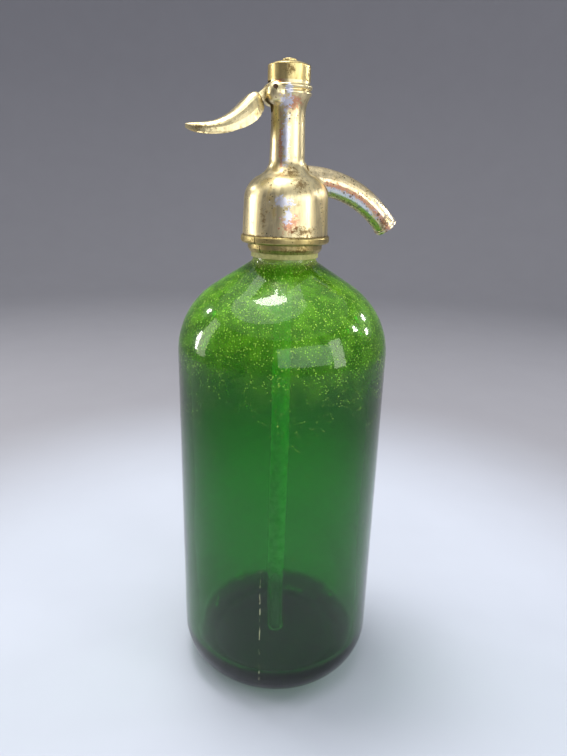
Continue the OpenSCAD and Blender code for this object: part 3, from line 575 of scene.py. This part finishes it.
# %% Glass of the bottle and of the tube
GREEN, GREEN_DENSITY = (0.12, 0.735, 0.04, 1), 500
# The frost's green is partly painted glow; the seeds' bright green and the neck's pale layer are painted
# light, and the heel's near black is painted shade.
green_glass = glass("bottle_glass_green", GREEN, GREEN_DENSITY, bottle_relief, 0.10, bottle_roughness,
                    (frost_and_painted_glow, (0.24, 0.68, 0.02, 1), 0.24), (neck_painted_light, (0.58, 0.66, 0.16, 1), 0.5),
                    (heel_painted_shade, (0.016, 0.010, 0.016, 1), 0.12),
                    (seeds_painted_bright, (0.60, 0.94, 0.14, 1), 0.3),
                    (seam_scratch, (0.55, 0.56, 0.34, 1), 0.7))
# The tube's pale layer is painted light.
tube_glass = glass("tube_glass_pale", (0.30, 0.80, 0.45, 1), 60, lambda f: cloud(f, 8, 2), 0.1,
                   lambda f: 0.02 + 0.03 * cloud(f, 3, 3), (tube_painted_light, (0.90, 0.93, 0.84, 1), 0.6))
nodes["siphon_tube"].data.materials.clear()
nodes["siphon_tube"].data.materials.append(tube_glass)
print("glass: absorption per metre", [round(GREEN_DENSITY * (1 - c)) for c in GREEN[:3]])

# %% [markdown]
# ## The bottle's shape
# A bottle is turned: half of its outline goes round the axis. Spin tools in the viewport do
# this by hand; here the rings of points are laid by code, finely enough that no facet shows.
# Old moulded glass isn't perfect inside, so the inner wall gets slow waves of a few tenths of
# a millimetre at most, which make the tube and the floor behind it shimmer.

# %% Outline of a flask
SHOULDER_Z, SHOULDER_DEGREES, LIP_FOOT, LIP_TOP = 178, 57.5, 235.57, 240.97
SHOULDER_TURN = math.radians(SHOULDER_DEGREES)


def arc(cx, cz, radius, start, end, steps):
    """Points of an arc in the (radius, height) plane, angles in degrees from outwards."""
    turns = [math.radians(start + (end - start) * k / steps) for k in range(steps + 1)]
    return [(cx + radius * math.cos(t), cz + radius * math.sin(t)) for t in turns]


def flask(radius, floor, heel, shoulder, neck, fillet, top):
    """Half outline from the axis up to the neck: heel, side, shoulder, slope, fillet, neck."""
    end_r = radius - shoulder + shoulder * math.cos(SHOULDER_TURN)
    end_z = SHOULDER_Z + shoulder * math.sin(SHOULDER_TURN)
    fillet_x = neck + fillet
    fillet_z = end_z + (fillet - math.cos(SHOULDER_TURN) * (fillet_x - end_r)) / math.sin(SHOULDER_TURN)
    line = [(0.0, floor)] + [((radius - heel) * k / 12, floor) for k in range(1, 12)]
    line += arc(radius - heel, floor + heel, heel, -90, 0, 20)
    line += [(radius, floor + heel + (SHOULDER_Z - floor - heel) * k / 24) for k in range(1, 24)]
    line += arc(radius - shoulder, SHOULDER_Z, shoulder, 0, SHOULDER_DEGREES, 22)
    foot = (fillet_x - fillet * math.cos(SHOULDER_TURN), fillet_z - fillet * math.sin(SHOULDER_TURN))
    rise_r, rise_z = foot[0] - end_r, foot[1] - end_z
    line += [(end_r + rise_r * k / 12, end_z + rise_z * k / 12) for k in range(1, 12)]
    line += arc(fillet_x, fillet_z, fillet, 180 + SHOULDER_DEGREES, 180, 6)
    line += [(neck, fillet_z + (top - fillet_z) * k / 6) for k in range(1, 7)]
    return line


LIP_R, LIP_ROUND, MOUTH_R = 16.3, 0.8, 13
outer = flask(radius=51.5, floor=0, heel=22, shoulder=38.5, neck=15, fillet=3.5, top=LIP_FOOT)
inner = flask(radius=45.3, floor=8.5, heel=16, shoulder=32.3, neck=11, fillet=3.5, top=LIP_TOP)
lip = [(LIP_R, LIP_FOOT)] + arc(LIP_R, LIP_FOOT + LIP_ROUND, LIP_ROUND, -90, 0, 4)
lip += arc(LIP_R, LIP_TOP - LIP_ROUND, LIP_ROUND, 0, 90, 4) + [(MOUTH_R, LIP_TOP)]
print("points of the outline:", len(outer) + len(lip) + len(inner))

# %% Turn an outline into an object
def to_object(name, mesh):
    """Makes an object of the scene from a bmesh, with its faces turned outwards."""
    bmesh.ops.recalc_face_normals(mesh, faces=mesh.faces)
    data = bpy.data.meshes.new(name)
    mesh.to_mesh(data)
    mesh.free()
    made = bpy.data.objects.new(name, data)
    bpy.context.scene.collection.objects.link(made)
    return made


def turned(name, line, around, wave=None):
    """Turns a half outline round the axis; line holds (radius, height) in mm, from the axis out."""
    mesh = bmesh.new()
    rings = []
    for k, (r, z) in enumerate(line):
        if r < 1e-6:
            rings.append([mesh.verts.new((0, 0, z * MM))])
            continue
        ring = []
        for i in range(around):
            a = 2 * math.pi * i / around
            out = Vector((math.cos(a), math.sin(a), 0))
            add = wave(k, out * r + Vector((0, 0, z))) if wave else 0.0
            ring.append(mesh.verts.new((out * (r + add) + Vector((0, 0, z))) * MM))
        rings.append(ring)
    for low, high in zip(rings, rings[1:]):
        for i in range(around):
            j = (i + 1) % around
            loop = [low[i % len(low)], low[j % len(low)], high[j % len(high)], high[i % len(high)]]
            mesh.faces.new(list(dict.fromkeys(loop)))
    for face in mesh.faces:
        face.smooth = True
    return to_object(name, mesh)


print("outlines can be turned")

# %% The bottle
WAVE_MM, WAVE_TOP, WAVE_FOOT = 0.28, 215, 12
inner_start = len(outer) + len(lip)


def glass_wave(k, at):
    """Slow unevenness of the inner wall, in mm; the outside stays true to the mould."""
    if k < inner_start or at.z > WAVE_TOP:
        return 0.0
    calm = min(1, (WAVE_TOP - at.z) / 20, max(0.0, (at.z - WAVE_FOOT) / 20))
    return WAVE_MM * calm * noise.noise(Vector((at.x / 22, at.y / 22, at.z / 34)))


bottle = turned("glass_bottle", outer + lip + inner[::-1], 160, glass_wave)
bottle.data.materials.append(green_glass)
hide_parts("bottle")
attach(bottle, "siphon")
print("bottle faces:", len(bottle.data.polygons))
print("bottle box in mm:", [round(v / MM, 1) for v in bottle.dimensions])

# %% [markdown]
# ## Solder round the spout
# The spout is pushed into the bell and soldered. The solder leaves an uneven little fillet
# where the two meet, and dirt gathers along it. To find that line, rays run back just outside
# the spout's skin until they meet the head. The hit points become the path of a thin, lumpy
# ring. They keep clear of the skin because the hole in the bell is a little wider than it.

# %% Where the spout meets the bell
ROOT, ROOT_TILT, SEAM_R = Vector((14.0, 0, 258.77)), math.radians(4), 6.85
along = Vector((math.cos(ROOT_TILT), 0, -math.sin(ROOT_TILT)))
over = Vector((math.sin(ROOT_TILT), 0, math.cos(ROOT_TILT)))
head_tree = BVHTree.FromObject(nodes["head_body"], bpy.context.evaluated_depsgraph_get())


def seam_points(count):
    """Points in mm, in a ring round the spout, where it enters the head."""
    points = []
    for i in range(count):
        turn = 2 * math.pi * i / count
        skin = ROOT + (over * math.cos(turn) + Vector((0, 1, 0)) * math.sin(turn)) * SEAM_R
        found = head_tree.ray_cast((skin + along * 12) * MM, -along)[0]
        points.append(found / MM)
    return points


solder_path = seam_points(72)
seam_x = [p.x for p in solder_path]
print("solder path: x from", round(min(seam_x), 1), "to", round(max(seam_x), 1), "mm")

# %% A lumpy ring along that line
def tube_along(name, path, middle, radius, lump=0.0, around=10, closed=True):
    """A tube along points round middle, in mm; closed joins it up, or else it has flat ends."""
    mesh = bmesh.new()
    rings = []
    for k, at in enumerate(path):
        behind, before = k - 1, (k + 1) % len(path)
        if not closed:
            behind, before = max(k - 1, 0), min(k + 1, len(path) - 1)
        ahead_on = (path[before] - path[behind]).normalized()
        out = (at - middle).cross(ahead_on).normalized()
        up = ahead_on.cross(out)
        thick = radius + lump * noise.noise(at * 0.45)
        rings.append([mesh.verts.new((at + thick * (out * math.cos(a) + up * math.sin(a))) * MM)
                      for a in (2 * math.pi * i / around for i in range(around))])
    for low, high in zip(rings, rings[1:] + (rings[:1] if closed else [])):
        for i in range(around):
            j = (i + 1) % around
            mesh.faces.new((low[i], low[j], high[j], high[i])).smooth = True
    if not closed:
        mesh.faces.new(rings[0])
        mesh.faces.new(rings[-1])
    return to_object(name, mesh)


solder_finish = brass("solder_dull", (0.66, 0.56, 0.34, 1), (0.30, 0.22, 0.10, 1), 0.8, 0.4, speck=1.2)
solder = tube_along("spout_solder", solder_path, ROOT, radius=0.62, lump=0.35)
solder.data.materials.append(solder_finish)
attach(solder, "siphon")
print("solder faces:", len(solder.data.polygons))

# %% [markdown]
# ## The spring that shortens
# The spring sits in the cap and presses the yoke down. When the lever lifts the yoke, the
# spring gets shorter: at full press it keeps 5.07 mm of its 7.1 mm. The coil is laid again
# as a tube along a helix, in the very place of its node, with a mesh of its own.

# %% A coil in the place of the spring
SPRING_LENGTH, PRESSED_LENGTH, COIL_R, TURNS = 7.1, 5.07, 4.3, 3.5
spring_low, spring_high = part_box("plunger_spring")
wire_r = spring_high.x / MM - COIL_R
climb = (spring_high.z - spring_low.z) / MM - 2 * wire_r


def coil_point(k, steps):
    """Point k of the wire's centre line, in mm, from the yoke at 0 to the washer at steps."""
    turn = 2 * math.pi * TURNS * k / steps
    height = spring_low.z / MM + wire_r + climb * k / steps
    return Vector((COIL_R * math.cos(turn), COIL_R * math.sin(turn), height))


coil_path = [coil_point(k, 84) for k in range(85)]
spring_middle = Vector((0, 0, (spring_low.z + spring_high.z) / 2 / MM))
coil = tube_along("coil_spring", coil_path, spring_middle, wire_r, around=12, closed=False)
coil.data.materials.append(spring_finish)
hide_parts("plunger_spring")
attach(coil, "siphon")
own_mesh(coil)
print("spring length in mm:", round((spring_high.z - spring_low.z) / MM, 2), "wire:", round(2 * wire_r, 2))

# %% [markdown]
# ## Floor, backdrop and light
# A round studio: one card that is a pale floor under the object, darkens outwards and curves
# up into a grey wall. The pale floor round the object is a painted pool of light. Every side
# has the same quiet background, the glass has a bright floor to shine with, and the brass has
# something darker to mirror, which gives it its contrast. A wide lamp overhead gives the soft
# light. The strips and the window draw long highlights, and the small round lamps give the
# sharp white spots on the shoulder of the glass.

# %% The studio sweep
def sweep(name, reach, rise, bend, around=96):
    """A floor disc that bends up into a wall; sizes in mm."""
    line = [(reach * (k / 14) ** 1.6, 0) for k in range(15)]
    for turn in [math.radians(degrees) for degrees in range(6, 91, 6)]:
        line.append((reach + bend * math.sin(turn), bend - bend * math.cos(turn)))
    line += [(reach + bend, bend + rise * k / 4) for k in range(1, 5)]
    made = turned(name, line, around)
    return made


NEAR_MM, FAR_MM, FLOOR_GAP = 170, 440, 0.0002


def card_with_painted_pool(name, near, far, rough):
    """Matt card of one colour up to NEAR_MM from the object and of another beyond FAR_MM; the near colour
    is a painted pool of light round the object.
    """
    f = Finish(name)
    flat = f.node("ShaderNodeVectorMath", {"operation": "MULTIPLY"}, {0: f.place, 1: (1, 1, 0)})
    away = f.node("ShaderNodeVectorMath", {"operation": "LENGTH"}, {0: flat}, 1)
    tone = mix(f, step(f, away, NEAR_MM, FAR_MM), near, far)
    tone = mix(f, 0.06 * cloud(f, 60, 3), tone, (0, 0, 0, 1))
    return close(f, f.node("ShaderNodeBsdfPrincipled", {}, {
        "Base Color": tone, "Roughness": rough, "Specular IOR Level": 0.2}))


studio = sweep("studio_sweep", reach=1150, rise=900, bend=600)
studio.location.z = -FLOOR_GAP
studio.data.materials.append(card_with_painted_pool("studio_pale", (0.56, 0.60, 0.70, 1), (0.34, 0.34, 0.38, 1), 0.8))
print("studio box:", [round(v, 2) for v in studio.dimensions])

# %% Lamps and sky
def lamp(name, aside, back, height, wide, tall, power, colour=(1, 1, 1), shape="ELLIPSE"):
    """A soft lamp; aside and back are metres from the object, seen from the camera."""
    data = bpy.data.lights.new(name, "AREA")
    data.shape, data.size, data.size_y = shape, wide, tall
    data.energy, data.color = power, colour
    made = bpy.data.objects.new(name, data)
    made.location = side * aside + depth * back + Vector((0, 0, height))
    made.rotation_euler = (Vector((0, 0, 0.2)) - made.location).to_track_quat("-Z", "Y").to_euler()
    bpy.context.scene.collection.objects.link(made)
    return made


lamp("lamp_top", -0.14, 0.14, 1.05, 0.34, 0.36, 5.0, (1.0, 0.98, 0.94))
lamp("lamp_top_wide", -0.20, 0.0, 1.15, 1.10, 1.10, 5.4, (1.0, 0.98, 0.94))
lamp("lamp_left", -0.93, 0.20, 0.30, 0.10, 0.30, 1.4, (1.0, 0.98, 0.95))
lamp("lamp_left_high", -0.79, 0.42, 0.67, 0.10, 0.10, 0.7)
lamp("lamp_left_strip", -0.98, 0.05, 0.45, 0.24, 0.70, 1.5, (1.0, 0.95, 0.84), "RECTANGLE")
lamp("lamp_right_high", 0.80, 0.50, 0.56, 0.10, 0.10, 0.7)
lamp("lamp_right", 0.92, 0.12, 0.63, 0.10, 0.10, 0.7)
lamp("lamp_right_low", 0.92, 0.36, 0.44, 0.10, 0.10, 0.6)
lamp("lamp_right_strip", 0.87, -0.48, 0.40, 0.26, 0.60, 2.4, (1.0, 0.97, 0.90), "RECTANGLE")
lamp("lamp_window", 0.42, -0.92, 0.45, 1.10, 0.50, 3.4, (0.96, 0.98, 1.0), "RECTANGLE")
world = bpy.data.worlds.new("studio_sky")
bpy.context.scene.world = world
world.use_nodes = True
world.node_tree.nodes["Background"].inputs["Color"].default_value = (0.95, 0.97, 1.0, 1)
world.node_tree.nodes["Background"].inputs["Strength"].default_value = 0.55
bpy.context.scene.view_settings.view_transform = "Standard"
